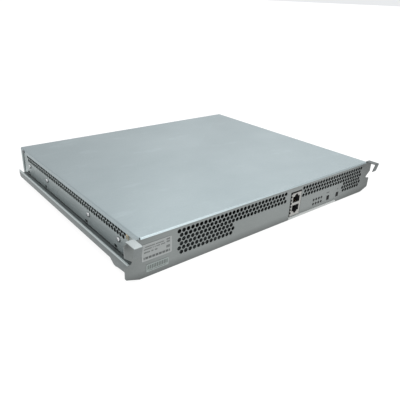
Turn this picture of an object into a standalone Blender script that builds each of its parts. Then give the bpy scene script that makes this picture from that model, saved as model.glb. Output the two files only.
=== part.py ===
"""Firewall appliance, one rack unit high, as an assembly of separate pieces.

Lengths are in millimetres while a shape is drawn, and become metres when it is placed.
While drawing, x runs to the right along the front, y runs to the rear from the outer face of
the front panel, and z runs up from the underside. The finished object's origin is at the middle
of its underside.
"""
import math

import bmesh
import bpy
from mathutils import Matrix, Vector

MM = 0.001

# Driving dimensions of the case.
HALF_WIDTH = 177.0          # to the outside of the cover's side flanges
DEPTH = 299.0               # front panel to the rear of the cover
HEIGHT = 44.0
SHEET = 1.0                 # thickness of the steel
GAP = 0.3                   # clearance between pieces that touch
COVER_FLANGE = 5.2          # height of the cover's turned-down edge
COVER_LIP = 1.8             # height of the cover's front lip
BEND = 1.2                  # outside radius of the cover's bends
WALL_OUT = HALF_WIDTH - SHEET - GAP
WALL_IN = WALL_OUT - SHEET
WALL_TOP = HEIGHT - SHEET - GAP
REAR_PLANE = DEPTH - 1.5    # outer face of the rear panel
WALL_END = REAR_PLANE - SHEET - GAP

# Front panel, its ears and the hooks that carry a bezel.
PANEL = 1.2
EAR_OUT = 191.0
EAR_TOP = 41.5
HOOK_INNER = 179.7
HOOK_OUTER = 188.2
HOOK_REACH = 12.5           # how far the hooks stand out in front of the panel
HOOK_TOP = 42.9
HOOK_DROP = 11.5

# Round perforation on a 60 degree stagger.
PITCH = 5.352
ROW = PITCH * math.sqrt(3) / 2
HOLE = 1.95                 # radius
GRID_LEFT = -132.1          # first column of the front panel
GRID_TOP = 36.4             # top row of the front panel

# Ports, lights and buttons on the front.
PORT_X = 36.7               # middle of the stacked port
PORT_HALF = 8.5
PORT_BOTTOM = 5.4
PORT_TOP = 34.9
LIP_RIGHT = 119.0
LIGHT_X = 72.0
LIGHT_STEP = 5.13
LIGHT_ROWS = (14.9, 9.4)
BUTTONS = {"power": 101.0, "reset": 120.3}
BUTTON_Z = 10.8
BUTTON_TRAVEL = 1.2

# Rails along the sides.
RAIL_OUT = 185.5
RAIL_FLOOR = 12.2
RAIL_TOP = 17.0
RAIL_BOTTOM = 7.8
RAIL_END = 288.0
SLOT_Y = (44.2, 108.0, 220.6, 279.8)
SCREW_Y = (37.2, 100.8, 212.5, 271.0)
SCREW_Z = 24.8
COVER_SCREW = (286.5, 41.0)

# Power supply, fans and boards.
PSU_X = (70.5, 170.5)
PSU_Y = (146.0, 296.0)
PSU_Z = (1.6, 41.6)
INLET_X = 103.0
ROCKER_X = 125.0
POWER_Z = 21.0
PSU_FAN_X = 150.5
FAN_X = (-112.0, -68.0, -24.0)
FAN_Y = (46.0, 74.0)
FAN_Z = 21.6
BOARD_Z = (7.3, 8.9)
REAR_PORT_X = -120.0

# The drawing's front panel plane lies this far from the finished origin.
ORIGIN_SHIFT = Vector((0.0, -(DEPTH - HOOK_REACH) / 2, 0.0))


def clear_scene():
    for old in list(bpy.data.objects):
        bpy.data.objects.remove(old, do_unlink=True)


def material(name, colour, roughness, metallic):
    made = bpy.data.materials.new(name)
    made.use_nodes = True
    shader = made.node_tree.nodes["Principled BSDF"]
    shader.inputs["Base Color"].default_value = (*colour, 1.0)
    shader.inputs["Roughness"].default_value = roughness
    shader.inputs["Metallic"].default_value = metallic
    return made


def in_space(axis, u, v, along):
    """Place a point of a flat drawing; X drawings are (y, z), Y are (x, z), Z are (x, y)."""
    return {"X": (along, u, v), "Y": (u, along, v), "Z": (u, v, along)}[axis]


def circle(u, v, radius, sides, turn=0.0):
    angles = [turn + 2 * math.pi * k / sides for k in range(sides)]
    return [(u + radius * math.cos(a), v + radius * math.sin(a)) for a in angles]


def rectangle(u0, v0, u1, v1):
    return [(u0, v0), (u1, v0), (u1, v1), (u0, v1)]


def rounded(u0, v0, u1, v1, radius, steps=3):
    """Rectangle whose corners are arcs."""
    centres = ((u1 - radius, v1 - radius, 0), (u0 + radius, v1 - radius, 90),
               (u0 + radius, v0 + radius, 180), (u1 - radius, v0 + radius, 270))
    points = []
    for u, v, start in centres:
        for k in range(steps + 1):
            a = math.radians(start + 90 * k / steps)
            points.append((u + radius * math.cos(a), v + radius * math.sin(a)))
    return points


def prism(axis, start, end, outline, holes=()):
    """Closed solid between two planes, from an outline and the holes in it."""
    bm = bmesh.new()
    edges = []
    for loop in (outline, *holes):
        verts = [bm.verts.new(in_space(axis, u, v, start)) for u, v in loop]
        edges += [bm.edges.new(pair) for pair in zip(verts, verts[1:] + verts[:1])]
    if holes:
        bmesh.ops.triangle_fill(bm, use_beauty=True, edges=edges)
    else:
        bm.faces.new(verts)
    grown = bmesh.ops.extrude_face_region(bm, geom=bm.faces[:])["geom"]
    moved = [item for item in grown if isinstance(item, bmesh.types.BMVert)]
    bmesh.ops.translate(bm, verts=moved, vec=in_space(axis, 0, 0, end - start))
    return bm


def box(x0, y0, z0, x1, y1, z1):
    return prism("Z", z0, z1, rectangle(x0, y0, x1, y1))


def stack_rings(axis, rings):
    """Closed solid through rings of points, each given with its distance along the axis."""
    bm = bmesh.new()
    loops = [[bm.verts.new(in_space(axis, u, v, along)) for u, v in ring] for ring, along in rings]
    count = len(loops[0])
    for low, high in zip(loops, loops[1:]):
        for k in range(count):
            after = (k + 1) % count
            bm.faces.new((low[k], low[after], high[after], high[k]))
    bm.faces.new(loops[0])
    bm.faces.new(loops[-1])
    return bm


def turned(axis, u, v, profile, sides=12):
    """Turned solid from (radius, distance along the axis) steps."""
    return stack_rings(axis, [(circle(u, v, radius, sides), along) for radius, along in profile])


def place(name, bm, finish, pivot=(0.0, 0.0, 0.0), smooth=False):
    """Make a drawn shape into an object in metres, with its origin at the pivot."""
    bmesh.ops.recalc_face_normals(bm, faces=bm.faces[:])
    pivot = Vector(pivot)
    bmesh.ops.transform(bm, matrix=Matrix.Scale(MM, 4) @ Matrix.Translation(-pivot), verts=bm.verts[:])
    mesh = bpy.data.meshes.new(name)
    bm.to_mesh(mesh)
    bm.free()
    if smooth:
        mesh.shade_smooth()
        mesh.set_sharp_from_angle(angle=math.radians(40))
    made = bpy.data.objects.new(name, mesh)
    made.location = (pivot + ORIGIN_SHIFT) * MM
    bpy.context.collection.objects.link(made)
    if finish:
        mesh.materials.append(finish)
    return made


def combine(target, bm, operation):
    """Cut a drawn shape from an object, or add it, with a live Boolean."""
    tool = place(f"{target.name}_{operation.lower()}_{len(target.modifiers)}", bm, None)
    tool.hide_render = True
    tool.display_type = "WIRE"
    step = target.modifiers.new(operation.title(), "BOOLEAN")
    step.operation = operation
    step.solver = "EXACT"
    step.object = tool


def grid_row(number, first, last, left, top):
    """Hole centres of one row, counted in pitches from the left column."""
    count = round(last - first) + 1
    return [(left + (first + k) * PITCH, top - number * ROW) for k in range(count)]


def front_grid():
    """Hole centres of the front panel: long rows on top, short ones over the ends."""
    spans = ((0, 0, 28), (1, 0.5, 27.5), (2, 0, 28), (3, 0.5, 12.5), (4, 0, 13), (5, 0.5, 12.5),
             (0, 34, 56), (1, 34.5, 55.5), (2, 34, 56), (3, 49.5, 55.5), (4, 49, 56), (5, 49.5, 55.5))
    centres = []
    for number, first, last in spans:
        centres += grid_row(number, first, last, GRID_LEFT, GRID_TOP)
    return centres


def make_base_pan(steel):
    """Bottom sheet with a turned-up edge along each side, just inside the walls."""
    inner = WALL_IN - GAP
    turn_up = 9.0
    outline = [(-WALL_OUT, 0), (WALL_OUT, 0), (WALL_OUT, SHEET), (inner, SHEET), (inner, turn_up),
               (inner - SHEET, turn_up), (inner - SHEET, SHEET), (-inner + SHEET, SHEET),
               (-inner + SHEET, turn_up), (-inner, turn_up), (-inner, SHEET), (-WALL_OUT, SHEET)]
    place("base_pan", prism("Y", PANEL + GAP, WALL_END, outline), steel)


def make_side_walls(steel):
    """Side sheets with two staggered rows of air holes, rail slots and screw holes."""
    first_hole, top_row = 26.0, 36.4
    holes = []
    for number, start, end in ((0, 0, 47), (1, 0.5, 46.5)):
        centres = grid_row(number, start, end, first_hole, top_row)
        holes += [circle(y, z, HOLE + 0.2, 4) for y, z in centres]
    holes += [rectangle(y - 2.2, 12.6, y + 2.2, 14.9) for y in SLOT_Y]
    holes += [circle(y, SCREW_Z, 1.7, 8) for y in SCREW_Y]
    holes.append(circle(*COVER_SCREW, 1.7, 8))
    outline = rectangle(PANEL + GAP, SHEET + GAP, WALL_END, WALL_TOP)
    for side, word in ((-1, "left"), (1, "right")):
        wall = prism("X", side * WALL_IN, side * WALL_OUT, outline, holes)
        place(f"{word}_side_wall", wall, steel)


def make_front_panel(steel):
    """Front sheet with its two ears, air grilles and openings."""
    half = [(26.8, GAP), (26.8, 4.0), (LIP_RIGHT, 4.0), (LIP_RIGHT, GAP)]
    right = [(176.5, GAP), (188.3, 4.2), (190.4, 5.3), (EAR_OUT, 7.0), (EAR_OUT, 18.2),
             (184.6, 18.9), (183.6, 20.0), (183.6, 22.0), (184.6, 23.2), (189.6, 26.2),
             (EAR_OUT, 28.6), (EAR_OUT, 38.6), (190.0, 40.4), (188.6, EAR_TOP), (WALL_OUT, EAR_TOP),
             (WALL_OUT, WALL_TOP)]
    left = [(-x, z) for x, z in reversed(right)]
    holes = [circle(x, z, HOLE, 6, math.pi / 6) for x, z in front_grid()]
    holes.append(rectangle(PORT_X - PORT_HALF - 1.2, PORT_BOTTOM - 0.5, PORT_X + PORT_HALF + 1.0,
                           PORT_TOP + 0.8))
    holes += [circle(LIGHT_X + k * LIGHT_STEP, z, 1.25, 6) for k in range(4) for z in LIGHT_ROWS]
    holes += [rectangle(x - 2.7, BUTTON_Z - 3.1, x + 2.7, BUTTON_Z + 3.1) for x in BUTTONS.values()]
    place("front_panel", prism("Y", 0, PANEL, half + right + left, holes), steel)


def make_top_cover(steel):
    """Lift-off lid: one sheet with a front lip, turned-down sides and open slots for its screws."""
    bm = box(-HALF_WIDTH, -1.5, HEIGHT - COVER_FLANGE, HALF_WIDTH, DEPTH, HEIGHT)
    top = [e for e in bm.edges if all(v.co.z > HEIGHT - 0.1 for v in e.verts)]
    bmesh.ops.bevel(bm, geom=top, offset=BEND, segments=3, profile=0.5, affect="EDGES")
    cover = place("top_cover", bm, steel)
    inside = HALF_WIDTH - SHEET
    below = HEIGHT - COVER_FLANGE - 5
    combine(cover, box(-inside, -0.5, below, inside, DEPTH - SHEET, HEIGHT - SHEET), "DIFFERENCE")
    wide = HALF_WIDTH + 5
    combine(cover, box(-wide, -5, below, wide, PANEL + GAP, HEIGHT - COVER_LIP), "DIFFERENCE")
    screw_y, screw_z = COVER_SCREW
    half = 1.8
    slot = [(screw_y - half, below), (screw_y + half, below), *circle(screw_y, screw_z, half, 8)[:5]]
    for side in (-1, 1):
        combine(cover, prism("X", side * (inside - 2), side * wide, slot), "DIFFERENCE")


def make_rear_panel(steel):
    """Rear sheet with the cut-outs for the power supply and ports, and a flange round each side."""
    psu = rectangle(PSU_X[0] + 3, PSU_Z[0] + 3, PSU_X[1] - 3, PSU_Z[1] - 3)
    ports = rectangle(REAR_PORT_X - 9, 8.7, REAR_PORT_X + 9, 39.4)
    serial = rectangle(-92.6, 9.6, -59.4, 23.4)
    slots = [rectangle(x - 1.6, 14, x + 1.6, 34) for x in range(-40, 60, 7)]
    outline = rectangle(-WALL_OUT, GAP, WALL_OUT, WALL_TOP)
    front = REAR_PLANE - SHEET
    rear = place("rear_panel", prism("Y", front, REAR_PLANE, outline, [psu, ports, serial, *slots]), steel)
    for side in (-1, 1):
        plan = [(175.0, front + 0.1), (176.0, front + 0.1), (176.0, front - 4), (HALF_WIDTH, front - 4),
                (HALF_WIDTH, REAR_PLANE - 0.1), (175.0, REAR_PLANE - 0.1)]
        plan = [(side * x, y) for x, y in plan]
        combine(rear, prism("Z", 1.5, HEIGHT - COVER_FLANGE - GAP, plan), "UNION")


def make_hooks(steel):
    """Hooks welded behind the ears, reaching forward over them with a tab that leans back."""
    lean = 2.4
    top, under = HOOK_TOP, HOOK_TOP - SHEET
    tip = HOOK_TOP - HOOK_DROP
    outline = [(PANEL + GAP, under), (PANEL + GAP, 30), (PANEL + GAP + SHEET, 30),
               (PANEL + GAP + SHEET, top), (-HOOK_REACH + 0.8, top), (-HOOK_REACH, top - 0.8),
               (lean - HOOK_REACH, tip), (lean - HOOK_REACH + SHEET, tip), (-HOOK_REACH + SHEET, under)]
    for side, word in ((-1, "left"), (1, "right")):
        bm = prism("X", side * HOOK_INNER, side * HOOK_OUTER, outline)
        corner = [e for e in bm.edges
                  if all(v.co.z < tip + 0.1 and abs(v.co.x) > HOOK_OUTER - 0.1 and v.co.y < 0
                         for v in e.verts)]
        bmesh.ops.bevel(bm, geom=corner, offset=1.8, segments=4, profile=0.5, affect="EDGES")
        place(f"{word}_bezel_hook", bm, steel)


def make_rails(steel):
    """Side rails: a wall web, a floor, and an outer strip that drops into a lug at the front."""
    front = PANEL + GAP + 0.2
    strip = [(front, RAIL_TOP), (front, 5.6), (13, 5.4), (24, 4.2), (28.5, 3.1), (31.5, 3.5),
             (38.5, RAIL_BOTTOM), (RAIL_END - 4, RAIL_BOTTOM), (RAIL_END - 1.2, RAIL_BOTTOM + 1.2),
             (RAIL_END, RAIL_BOTTOM + 4), (RAIL_END, RAIL_TOP)]
    web_in = WALL_OUT + GAP
    section = [(web_in, 3), (web_in + SHEET, 3), (web_in + SHEET, RAIL_FLOOR - SHEET),
               (RAIL_OUT - 0.6, RAIL_FLOOR - SHEET), (RAIL_OUT - 0.6, RAIL_FLOOR), (web_in, RAIL_FLOOR)]
    for side, word in ((-1, "left"), (1, "right")):
        rail = place(f"{word}_rail", prism("X", side * (RAIL_OUT - 1.2), side * RAIL_OUT, strip), steel)
        web = [(side * x, z) for x, z in section]
        combine(rail, prism("Y", front + 0.1, RAIL_END - 0.5, web), "UNION")


def make_side_screws(zinc):
    """Pan-head screws through the walls, and the two that hold the cover."""
    outer = WALL_OUT + GAP
    for side, word in ((-1, "left"), (1, "right")):
        steps = ((1.3, 171.5), (1.3, outer), (2.5, outer), (2.5, outer + 0.7), (1.6, outer + 1.4))
        profile = [(radius, side * x) for radius, x in steps]
        for number, y in enumerate(SCREW_Y, 1):
            place(f"side_screw_{word}_{number}", turned("X", y, SCREW_Z, profile, 10), zinc, smooth=True)
        face = HALF_WIDTH + GAP
        steps = ((1.3, 172.0), (1.3, face), (2.4, face), (2.4, face + 0.5), (1.6, face + 1.0))
        profile = [(radius, side * x) for radius, x in steps]
        place(f"cover_screw_{word}", turned("X", *COVER_SCREW, profile, 10), zinc, smooth=True)


def make_grounding_clips(brass):
    """Brass spring clips that ground the cover, at the front of each side wall."""
    near, far = WALL_OUT + GAP, WALL_OUT + GAP + 0.9
    outline = [(near, 33.2), (far, 33.2), (far, 38.4), (near, 38.4), (near, 37.9), (far - 0.5, 37.9),
               (far - 0.5, 33.7), (near, 33.7)]
    for side, word in ((-1, "left"), (1, "right")):
        section = [(side * x, z) for x, z in outline]
        place(f"grounding_clip_{word}", prism("Y", 17.4, 21.4, section), brass)


def make_labels(silver):
    """Adhesive plates at the left end of the front panel."""
    place("rating_label", prism("Y", -0.3, -0.1, rounded(-174, 17.8, -141, 35.2, 1.2)), silver)
    place("barcode_label", prism("Y", -0.3, -0.1, rounded(-169.3, 5.4, -144.6, 13.2, 0.8)), silver)


def port_mouth(x, z, up):
    """Outline of one socket mouth: a rectangle with the latch notch above or below it."""
    half, tall = 5.85, 7.6
    points = [(-half, 0), (half, 0), (half, tall), (3.1, tall), (3.1, tall + 1.6), (1.6, tall + 1.6),
              (1.6, tall + 3.0), (-1.6, tall + 3.0), (-1.6, tall + 1.6), (-3.1, tall + 1.6),
              (-3.1, tall), (-half, tall)]
    return [(x + u, z + v if up else z - v) for u, v in points]


def make_port_stack(prefix, x, bottom, face, inward, shield_finish, plastic):
    """Two network sockets, one above the other: a metal shield round a plastic body."""
    top = bottom + PORT_TOP - PORT_BOTTOM
    mouths = [port_mouth(x, bottom + 16.6, True), port_mouth(x, bottom + 13.2, False)]
    outline = rectangle(x - PORT_HALF, bottom, x + PORT_HALF, top)
    shield = place(f"{prefix}_shield", prism("Y", face, face + inward * 21, outline, mouths), shield_finish)
    wall = 0.5
    hollow = sorted((face + inward * wall, face + inward * 22))
    combine(shield, box(x - PORT_HALF + wall, hollow[0], bottom + wall, x + PORT_HALF - wall, hollow[1],
                        top - wall), "DIFFERENCE")
    inner = wall + GAP
    ends = sorted((face + inward * inner, face + inward * 20.5))
    body = place(f"{prefix}_insert", box(x - PORT_HALF + inner, ends[0], bottom + inner,
                                         x + PORT_HALF - inner, ends[1], top - inner), plastic)
    for mouth in mouths:
        combine(body, prism("Y", face - inward * 2, face + inward * 15, mouth), "DIFFERENCE")


def make_front_board(steel, green, clear):
    """Small board behind the front panel, on its bracket, with the lights' light pipe."""
    bracket = [(-0.4, 0.7), (0.0, GAP), (0.9, GAP), (0.9, 2.7), (31, 2.7), (31, 3.7), (0.2, 3.7),
               (-0.4, 3.1)]
    place("port_bracket", prism("X", 27.2, LIP_RIGHT - 0.4, bracket), steel)
    place("front_board", box(24, 2, 4.0, 130, 30, 5.1), green)
    body = box(LIGHT_X - 2.5, 2.5, 5.4, LIGHT_X + 3 * LIGHT_STEP + 2.5, 8, 17.5)
    pipes = place("light_pipe", body, clear)
    for k in range(4):
        for z in LIGHT_ROWS:
            rod = turned("Y", LIGHT_X + k * LIGHT_STEP, z, ((0.9, 0.35), (0.9, 3.0)), 8)
            combine(pipes, rod, "UNION")


def make_buttons(black, grey):
    """Push buttons and the switch bodies behind them."""
    for word, x in BUTTONS.items():
        bm = box(x - 2.3, 0.25, BUTTON_Z - 2.7, x + 2.3, 6.0, BUTTON_Z + 2.7)
        rim = [e for e in bm.edges if all(v.co.y < 0.3 for v in e.verts)]
        bmesh.ops.bevel(bm, geom=rim, offset=0.5, segments=2, profile=0.5, affect="EDGES")
        place(f"{word}_button", bm, black, pivot=(x, 0.25, BUTTON_Z))
        back = 6.0 + BUTTON_TRAVEL + GAP
        place(f"{word}_switch", box(x - 3, back, 5.4, x + 3, back + 6, 15.5), grey)


def make_fan(number_name, x, y0, y1, z, half, frame_finish, rotor_finish):
    """Axial fan: a square duct with a four-armed back, and the rotor that turns in it."""
    duct = half - 1.5
    frame_shape = rounded(x - half, z - half, x + half, z + half, 2.5, 1)
    frame = place(f"{number_name}_frame", prism("Y", y0, y1 - 1.5, frame_shape, [circle(x, z, duct, 16)]),
                  frame_finish, smooth=True)
    arm, steps, core = 0.14, 4, 10.5
    openings = [circle(x, z, 2.0, 8)]
    for quarter in range(4):
        low = quarter * math.pi / 2 + arm
        angles = [low + (math.pi / 2 - 2 * arm) * k / steps for k in range(steps + 1)]
        rim = [(x + (duct - 0.2) * math.cos(a), z + (duct - 0.2) * math.sin(a)) for a in angles]
        inside = [(x + core * math.cos(a), z + core * math.sin(a)) for a in reversed(angles)]
        openings.append(rim + inside)
    combine(frame, prism("Y", y1 - 2, y1, frame_shape, openings), "UNION")
    make_rotor(f"{number_name}_rotor", x, y0 + 2, y1 - 2.6, z, duct - 1.0, rotor_finish)


def make_rotor(name, x, y0, y1, z, tip, finish):
    """Hub and seven swept blades turned along the axis, with a short shaft."""
    blades, hub = 7, 9.5
    rings = []
    for step in range(3):
        sweep = math.radians(16) * step
        ring = []
        for k in range(blades):
            start = 2 * math.pi * k / blades + sweep
            for radius, offset in ((hub, 0.0), (tip, 0.05), (tip, 0.16), (hub, 0.22)):
                a = start + offset
                ring.append((x + radius * math.cos(a), z + radius * math.sin(a)))
        rings.append((ring, y0 + (y1 - y0) * step / 2))
    middle = (y0 + y1) / 2
    rotor = place(name, stack_rings("Y", rings), finish, pivot=(x, middle, z))
    combine(rotor, turned("Y", x, z, ((1.5, y1 - 1), (1.5, y1 + 2.2)), 8), "UNION")


def make_boards(green, black, aluminium, brass):
    """Main board on its standoffs, with the processor, its heatsink and the memory."""
    place("main_board", box(-165, 82, BOARD_Z[0], 60, 291, BOARD_Z[1]), green)
    for number, (x, y) in enumerate(((-158, 90), (52, 90), (-158, 262), (52, 262)), 1):
        pillar = ((2.7, SHEET + GAP), (2.7, BOARD_Z[0] - GAP))
        place(f"standoff_{number}", turned("Z", x, y, pillar, 6), brass)
    top = BOARD_Z[1] + GAP
    place("processor", box(-75, 171, top, -37, 209, top + 1.8), black)
    foot, fins, fin, gap = top + 1.8 + GAP, 14, 1.4, 4.4
    comb = [(-96, foot), (-96 + (fins - 1) * (fin + gap) + fin, foot)]
    for k in reversed(range(fins)):
        left = -96 + k * (fin + gap)
        comb += [(left + fin, 36.5), (left, 36.5)]
        if k:
            comb += [(left, foot + 4), (left - gap, foot + 4)]
    place("heatsink", prism("Y", 150, 230, comb), aluminium)
    slot = [(19, top), (25, top), (25, top + 6), (23, top + 6), (23, top + 2.4), (21, top + 2.4),
            (21, top + 6), (19, top + 6)]
    place("memory_slot", prism("Y", 118, 255, slot), black)
    place("memory_module", box(21.35, 120, top + 2.7, 22.65, 253, 40.5), green)


def make_power_supply(steel, green, black, grey):
    """Power supply case with its board, fan, mains inlet and rocker switch."""
    x0, x1 = PSU_X
    y0, y1 = PSU_Y
    z0, z1 = PSU_Z
    case = place("psu_case", box(x0, y0, z0, x1, y1, z1), steel)
    combine(case, box(x0 + SHEET, y0 + SHEET, z0 + SHEET, x1 - SHEET, y1 - SHEET, z1 - SHEET), "DIFFERENCE")
    combine(case, box(76.4, y1 - 5, POWER_Z - 11.6, 132.6, y1 + 5, POWER_Z + 11.6), "DIFFERENCE")
    combine(case, prism("Y", y1 - 5, y1 + 5, circle(PSU_FAN_X, FAN_Z, 16.0, 20)), "DIFFERENCE")
    for k in range(8):
        left = x0 + 10 + k * 11
        combine(case, box(left, y0 - 5, 12, left + 5, y0 + 5, 32), "DIFFERENCE")
    board = place("psu_board", box(x0 + 3, 152, 4.6, x1 - 3, 262, 6.2), green)
    combine(board, box(100, 190, 6, 132, 222, 33), "UNION")
    combine(board, box(80, 165, 6, 84, 245, 34), "UNION")
    combine(board, turned("Z", 152, 180, ((9, 6), (9, 34)), 14), "UNION")
    make_fan("psu_fan", PSU_FAN_X, 268, 294.4, FAN_Z, 17.5, black, grey)
    make_power_entry(black, grey)


def make_power_entry(black, grey):
    """One moulded entry: a three-pin inlet beside the opening of the rocker switch."""
    outer = DEPTH - 0.6
    entry = place("power_inlet", box(76.8, 270, POWER_Z - 11.2, 132.2, outer, POWER_Z + 11.2), black)
    x, z = INLET_X - 9, POWER_Z
    mouth = [(x - 12.2, z - 8.3), (x + 12.2, z - 8.3), (x + 12.2, z + 4.6), (x + 8.6, z + 8.3),
             (x - 8.6, z + 8.3), (x - 12.2, z + 4.6)]
    pins = [rectangle(x + dx - 1, z + dz - 2, x + dx + 1, z + dz + 2) for dx, dz in ((0, 3), (-7, -1), (7, -1))]
    combine(entry, prism("Y", outer - 17, outer + 5, mouth, pins), "DIFFERENCE")
    combine(entry, box(ROCKER_X - 5.3, 280, z - 9.3, ROCKER_X + 5.3, outer + 5, z + 9.3), "DIFFERENCE")
    pivot_y = outer - 5.8
    tilt = math.radians(8)
    key = [(-3.5, -4.0), (3.2, -8.3), (5.0, -8.3), (3.6, 0.0), (5.0, 8.3), (3.2, 8.3), (-3.5, 4.0)]
    spun = [(pivot_y + u * math.cos(tilt) - v * math.sin(tilt), z + u * math.sin(tilt) + v * math.cos(tilt))
            for u, v in key]
    place("rocker_key", prism("X", ROCKER_X - 4.9, ROCKER_X + 4.9, spun), grey,
          pivot=(ROCKER_X, pivot_y, z))


def make_drive(steel, aluminium):
    """Small disk drive in a tray-shaped bracket."""
    x0, x1 = 94.0, 168.0
    base = SHEET + GAP
    outline = [(x0, base), (x1, base), (x1, 12), (x1 - 1, 12), (x1 - 1, base + 1), (x0 + 1, base + 1),
               (x0 + 1, 12), (x0, 12)]
    place("drive_bracket", prism("Y", 38, 142, outline), steel)
    place("disk_drive", box(x0 + 1.6, 40, base + 1.5, x1 - 1.6, 140, 13.0), aluminium)


def make_serial_port(metal):
    """Nine-way console connector on the rear edge of the main board."""
    low = BOARD_Z[1] + GAP
    body = place("serial_port", box(-91.6, 278, low + 0.9, -60.4, DEPTH - 0.8, low + 13.7), metal)
    middle = low + 7.3
    mouth = [(-84.2, middle - 4), (-67.8, middle - 4), (-66.6, middle + 4), (-85.4, middle + 4)]
    combine(body, prism("Y", DEPTH - 6.5, DEPTH + 5, mouth), "DIFFERENCE")


def make_power_harness(sleeve):
    """Bundle of wires from the power supply to the main board, in one sleeve."""
    start, end = Vector((66.0, 135.0, 20.0)), Vector((46.0, 150.0, 12.5))
    route = ((86.0, 143.5, 18.0), (84.0, 136.0, 18.5), (72.0, 131.0, 19.5), tuple(start),
             (58.0, 142.0, 19.0), (50.0, 149.0, 16.5), tuple(end))
    curve = bpy.data.curves.new("power_harness", "CURVE")
    curve.dimensions = "3D"
    curve.bevel_depth = 2.6 * MM
    curve.bevel_resolution = 1
    curve.use_fill_caps = True
    line = curve.splines.new("POLY")
    points = smooth_route(route, 3)
    line.points.add(len(points) - 1)
    for item, point in zip(line.points, points):
        item.co = (*((point + ORIGIN_SHIFT) * MM), 1.0)
    curve.materials.append(sleeve)
    bpy.context.collection.objects.link(bpy.data.objects.new("power_harness", curve))


def smooth_route(route, between):
    """Points on a Catmull-Rom curve through a route."""
    knots = [Vector(p) for p in route]
    padded = [2 * knots[0] - knots[1], *knots, 2 * knots[-1] - knots[-2]]
    points = []
    for k in range(len(knots) - 1):
        a, b, c, d = padded[k:k + 4]
        for step in range(between):
            t = step / between
            points.append(0.5 * (2 * b + (c - a) * t + (2 * a - 5 * b + 4 * c - d) * t ** 2
                                 + (3 * b - a - 3 * c + d) * t ** 3))
    return points + [knots[-1]]


def build():
    clear_scene()
    sheet = material("galvanised_sheet", (0.52, 0.57, 0.58), 0.38, 0.85)
    panel = material("grey_panel_steel", (0.27, 0.29, 0.28), 0.45, 0.7)
    zinc = material("zinc_plate", (0.70, 0.71, 0.72), 0.3, 1.0)
    bright = material("tinned_shield", (0.66, 0.65, 0.62), 0.3, 1.0)
    brass = material("spring_brass", (0.60, 0.47, 0.24), 0.35, 1.0)
    silver = material("label_film", (0.55, 0.56, 0.55), 0.5, 0.2)
    green = material("board_laminate", (0.03, 0.16, 0.08), 0.5, 0.0)
    black = material("black_plastic", (0.015, 0.015, 0.016), 0.5, 0.0)
    grey = material("grey_plastic", (0.12, 0.12, 0.13), 0.5, 0.0)
    clear = material("light_pipe_plastic", (0.35, 0.37, 0.36), 0.2, 0.0)
    aluminium = material("bare_aluminium", (0.75, 0.76, 0.77), 0.35, 1.0)
    make_base_pan(sheet)
    make_side_walls(sheet)
    make_front_panel(panel)
    make_top_cover(sheet)
    make_rear_panel(sheet)
    make_hooks(panel)
    make_rails(sheet)
    make_side_screws(zinc)
    make_grounding_clips(brass)
    make_labels(silver)
    make_port_stack("front_port", PORT_X, PORT_BOTTOM, -0.6, 1, bright, black)
    make_port_stack("rear_port", REAR_PORT_X, BOARD_Z[1] + GAP, DEPTH - 0.8, -1, bright, black)
    make_front_board(sheet, green, clear)
    make_buttons(black, grey)
    for number, x in enumerate(FAN_X, 1):
        make_fan(f"fan_{number}", x, *FAN_Y, FAN_Z, 20.0, black, grey)
    make_boards(green, black, aluminium, brass)
    make_power_supply(sheet, green, black, grey)
    make_drive(sheet, aluminium)
    make_serial_port(bright)
    make_power_harness(black)


build()
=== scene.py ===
import math

import bpy
from mathutils import Matrix, Vector


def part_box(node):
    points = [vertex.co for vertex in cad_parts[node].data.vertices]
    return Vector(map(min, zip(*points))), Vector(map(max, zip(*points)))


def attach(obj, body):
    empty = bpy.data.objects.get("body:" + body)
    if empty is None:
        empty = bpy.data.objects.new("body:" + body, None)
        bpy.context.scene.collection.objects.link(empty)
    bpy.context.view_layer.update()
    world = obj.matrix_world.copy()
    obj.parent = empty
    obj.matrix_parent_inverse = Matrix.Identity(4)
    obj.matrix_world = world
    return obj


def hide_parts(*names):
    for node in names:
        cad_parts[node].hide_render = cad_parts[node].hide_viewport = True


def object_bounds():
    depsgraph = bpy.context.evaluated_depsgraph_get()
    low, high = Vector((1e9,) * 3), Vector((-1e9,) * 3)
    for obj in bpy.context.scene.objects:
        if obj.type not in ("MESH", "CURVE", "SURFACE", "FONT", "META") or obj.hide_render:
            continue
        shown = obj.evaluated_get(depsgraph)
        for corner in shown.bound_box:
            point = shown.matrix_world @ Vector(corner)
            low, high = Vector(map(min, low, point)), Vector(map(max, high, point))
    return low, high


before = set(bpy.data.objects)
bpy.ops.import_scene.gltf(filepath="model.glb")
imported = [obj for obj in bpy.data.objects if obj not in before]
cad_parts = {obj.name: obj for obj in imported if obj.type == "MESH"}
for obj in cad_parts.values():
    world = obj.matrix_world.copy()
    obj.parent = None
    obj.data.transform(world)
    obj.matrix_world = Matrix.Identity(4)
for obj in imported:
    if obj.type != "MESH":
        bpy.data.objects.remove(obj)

cad_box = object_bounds()

# The studio: a pale, faintly glowing floor under a white room, a wide soft light overhead and a second
# one behind, whose reflection lies across the lid and brightens it towards the front.
bpy.ops.object.select_all(action="DESELECT")
bpy.ops.mesh.primitive_plane_add(size=60, location=(0, 0, cad_box[0].z))
floor = bpy.context.object
floor.name = "studio_floor"
floor_paint = bpy.data.materials.new("studio_floor")
floor_paint.use_nodes = True
paint = floor_paint.node_tree.nodes["Principled BSDF"].inputs
paint["Base Color"].default_value = (0.12, 0.12, 0.12, 1)
paint["Roughness"].default_value = 0.95
paint["Emission Color"].default_value = (1, 1, 1, 1)
paint["Emission Strength"].default_value = 0.91
floor.data.materials.append(floor_paint)
room = bpy.data.worlds.new("studio_room")
room.use_nodes = True
room.node_tree.nodes["Background"].inputs["Color"].default_value = (0.97, 0.985, 1.0, 1)
room.node_tree.nodes["Background"].inputs["Strength"].default_value = 0.85
bpy.context.scene.world = room
bpy.context.scene.view_settings.view_transform = "Standard"


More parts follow.
